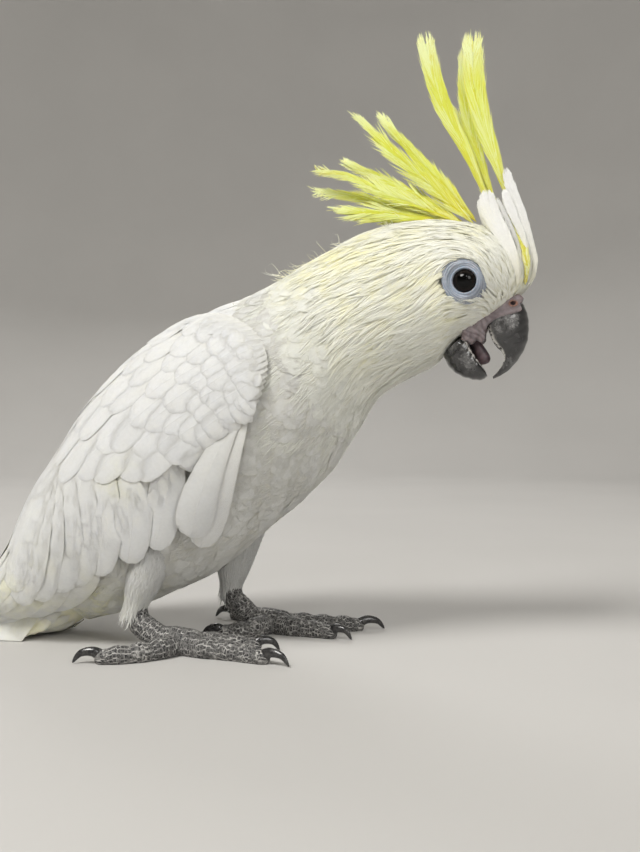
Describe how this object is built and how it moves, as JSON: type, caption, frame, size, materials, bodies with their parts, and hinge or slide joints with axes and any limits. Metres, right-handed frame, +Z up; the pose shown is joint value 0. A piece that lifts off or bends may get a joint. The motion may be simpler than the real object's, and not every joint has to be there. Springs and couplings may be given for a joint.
{
  "type": "white cockatoo with yellow crest",
  "caption": "Life-size model of a white cockatoo standing with its yellow crest raised, bill parted and tail laid on the floor behind it.",
  "frame": {"origin": "under the middle of the bird's box, on the floor", "axes": "+X the way the bird faces, +Y its left, +Z up"},
  "size_m": [0.3554, 0.1128, 0.276],
  "materials": {
    "white_feather": "soft white feather, faintly cream",
    "yellow_feather": "soft lemon yellow feather",
    "eye_skin": "bare wrinkled blue-grey skin",
    "eye": "wet, very glossy",
    "bill": "semi-gloss horn with powdery patches",
    "cere": "bare matt skin",
    "tongue": "damp, satin",
    "foot_skin": "dry scaled skin",
    "claw": "semi-gloss horn"
  },
  "bodies": {
    "root": {"cere": "cere", "crest_front_1": "yellow_feather", "crest_front_2": "yellow_feather", "crest_front_3": "yellow_feather", "crest_front_4": "yellow_feather", "crest_rear_1": "yellow_feather", "crest_rear_2": "yellow_feather", "crest_rear_3": "yellow_feather", "crest_rear_4": "yellow_feather", "crest_rear_5": "yellow_feather", "crest_rear_6": "yellow_feather", "eye_left": "eye", "eye_right": "eye", "eye_ring_left": "eye_skin", "eye_ring_right": "eye_skin", "foot_left": "foot_skin", "foot_right": "foot_skin", "head": "white_feather", "inner_back_claw_left": "claw", "inner_back_claw_right": "claw", "inner_back_toe_left": "foot_skin", "inner_back_toe_right": "foot_skin", "inner_front_claw_left": "claw", "inner_front_claw_right": "claw", "inner_front_toe_left": "foot_skin", "inner_front_toe_right": "foot_skin", "lower_bill": "bill", "neck": "white_feather", "outer_back_claw_left": "claw", "outer_back_claw_right": "claw", "outer_back_toe_left": "foot_skin", "outer_back_toe_right": "foot_skin", "outer_front_claw_left": "claw", "outer_front_claw_right": "claw", "outer_front_toe_left": "foot_skin", "outer_front_toe_right": "foot_skin", "plume_front_left": "white_feather", "plume_front_right": "white_feather", "plume_left": "white_feather", "plume_right": "white_feather", "tail": "white_feather", "thigh_left": "white_feather", "thigh_right": "white_feather", "tongue": "tongue", "trunk": "white_feather", "upper_bill": "bill", "wing_left_alula": "white_feather", "wing_left_coverts": "white_feather", "wing_left_primaries": "white_feather", "wing_left_secondaries": "white_feather", "wing_right_alula": "white_feather", "wing_right_coverts": "white_feather", "wing_right_primaries": "white_feather", "wing_right_secondaries": "white_feather"}
  },
  "joints": []
}
